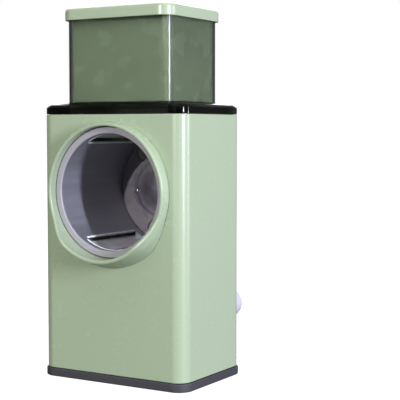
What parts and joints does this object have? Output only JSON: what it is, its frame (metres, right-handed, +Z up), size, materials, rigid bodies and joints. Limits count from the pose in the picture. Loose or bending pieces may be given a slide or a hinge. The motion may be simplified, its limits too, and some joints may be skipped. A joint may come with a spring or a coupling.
{
  "type": "rotary cheese grater",
  "caption": "Table-top rotary grater: rounded upright housing, slicing drum in a round front outlet, hopper with pusher on top, rear crank, suction foot.",
  "frame": {"origin": "centre of the footprint on the worktop, at the middle of the suction pad's sole", "axes": "+Z up; -Y towards the round outlet (front); +X to the right seen from the front; the drum and crank turn about a line along Y 143 mm above the worktop"},
  "size_m": [0.1364, 0.203, 0.28],
  "materials": {
    "sage_plastic": "glossy, pale sage green",
    "smoked_plastic": "glossy, dark translucent green",
    "dark_rubber": "matte, dark grey",
    "dark_plastic": "matte, dark grey",
    "grey_plastic": "satin, light lilac grey",
    "drum_steel": "satin, dark reflections",
    "steel": "satin",
    "white_plastic": "satin, white",
    "bronze": "plain"
  },
  "bodies": {
    "housing": {"housing_shell": "sage_plastic", "outlet_collar": "sage_plastic", "drum_chamber": "sage_plastic", "shaft_bushing": "bronze", "base_plate": "dark_plastic", "base_skirt": "dark_rubber", "chamber_screw_1": "steel", "chamber_screw_2": "steel", "chamber_screw_3": "steel", "chamber_screw_4": "steel", "base_screw_1": "steel", "base_screw_2": "steel", "base_screw_3": "steel", "base_screw_4": "steel"},
    "hopper": {"hopper": "smoked_plastic"},
    "pusher": {"pusher_cap": "sage_plastic", "pusher_body": "sage_plastic"},
    "crank": {"drive_shaft": "steel", "thrust_washer": "white_plastic", "crank_arm": "white_plastic", "crank_screw": "steel", "grip_pin": "steel", "grip_washer": "white_plastic"},
    "grip": {"grip": "white_plastic"},
    "drum": {"drum_shell": "drum_steel", "drum_front_ring": "grey_plastic", "drum_end_plate": "drum_steel", "drum_hub": "grey_plastic", "drum_rivet_1": "steel", "drum_rivet_2": "steel", "drum_rivet_3": "steel"},
    "lever": {"suction_lever": "dark_plastic", "cam_shaft": "steel", "cam_clip": "steel"},
    "pad": {"suction_pad": "dark_rubber", "pull_stem": "grey_plastic"}
  },
  "joints": [
    {"name": "crank_turn", "type": "hinge", "parent": "housing", "child": "crank", "pos_m": [0, 0, 0.143], "axis": [0, 1, 0], "continuous": true},
    {"name": "drum_pull", "type": "slide", "parent": "crank", "child": "drum", "axis": [0, -1, 0], "range_m": [0, 0.085]},
    {"name": "grip_spin", "type": "hinge", "parent": "crank", "child": "grip", "pos_m": [0, 0, 0.0375], "axis": [0, 1, 0], "continuous": true},
    {"name": "hopper_lift", "type": "slide", "parent": "housing", "child": "hopper", "axis": [0, 0, 1], "range_m": [0, 0.05]},
    {"name": "pusher_slide", "type": "slide", "parent": "hopper", "child": "pusher", "axis": [0, 0, 1], "range_m": [0, 0.079]},
    {"name": "lever_turn", "type": "hinge", "parent": "housing", "child": "lever", "pos_m": [0, 0, 0.024], "axis": [1, 0, 0], "range_deg": [0, 90]},
    {"name": "pad_pull", "type": "slide", "parent": "housing", "child": "pad", "axis": [0, 0, 1], "range_m": [0, 0.003]}
  ],
  "couplings": [
    {"joint": "pad_pull", "follows": "lever_turn", "m_per_rad": 0.0019}
  ]
}
